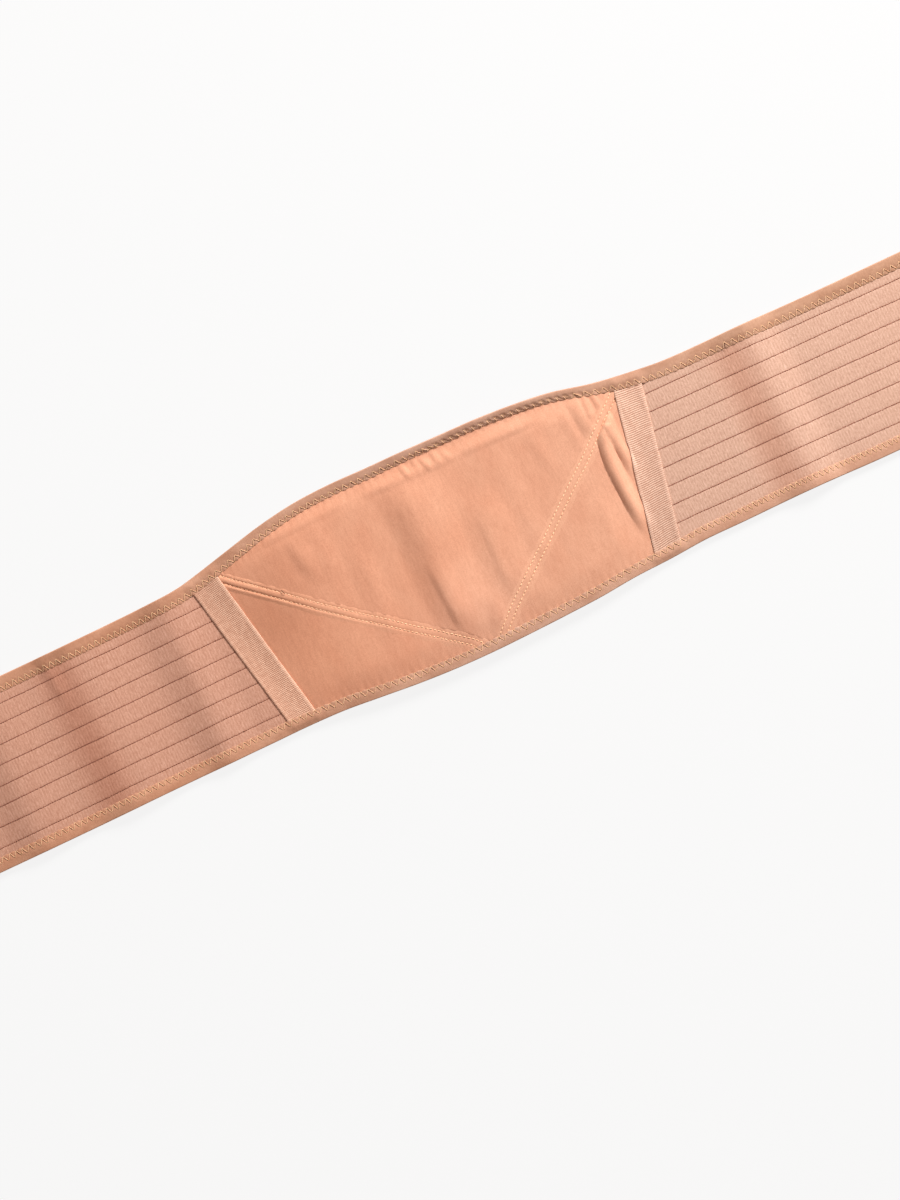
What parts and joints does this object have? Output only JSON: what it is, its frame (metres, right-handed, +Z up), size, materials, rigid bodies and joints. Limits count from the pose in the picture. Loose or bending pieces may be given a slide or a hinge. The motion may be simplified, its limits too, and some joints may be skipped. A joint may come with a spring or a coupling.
{
  "type": "maternity support belt",
  "caption": "Long flat maternity support belt lying open: knit belly panel with felled seams meeting in a V, slanted joint tapes, ribbed elastic wings, binding all round.",
  "frame": {"origin": "middle of the belt's bounding box, on the surface that it lies on", "axes": "+X along the belt towards the end with the hook patch, +Y towards the belly panel's high edge, +Z up out of the face that shows"},
  "size_m": [1.04, 0.1553, 0.0103],
  "materials": {
    "panel_knit": "fine cotton jersey, matt, with a faint sheen",
    "wing_elastic": "finely ribbed elastic, matt",
    "joint_tape": "coarse woven tape, matt",
    "binding_elastic": "smooth fold-over elastic, slight sheen",
    "hook_tape": "fine nylon hooks on woven tape",
    "stitch_thread": "polyester sewing thread",
    "pin_thread": "dark dotted pin lines of the wing cloth"
  },
  "bodies": {
    "root": {"center_panel": "panel_knit", "side_panel_left": "panel_knit", "side_panel_right": "panel_knit", "seam_left": "panel_knit", "seam_right": "panel_knit", "tape_left": "joint_tape", "tape_right": "joint_tape", "wing_left": "wing_elastic", "wing_right": "wing_elastic", "binding_top_left": "binding_elastic", "binding_top_center": "binding_elastic", "binding_top_right": "binding_elastic", "binding_bottom": "binding_elastic", "binding_end_left": "binding_elastic", "binding_end_right": "binding_elastic", "hook_patch": "hook_tape"}
  },
  "joints": []
}
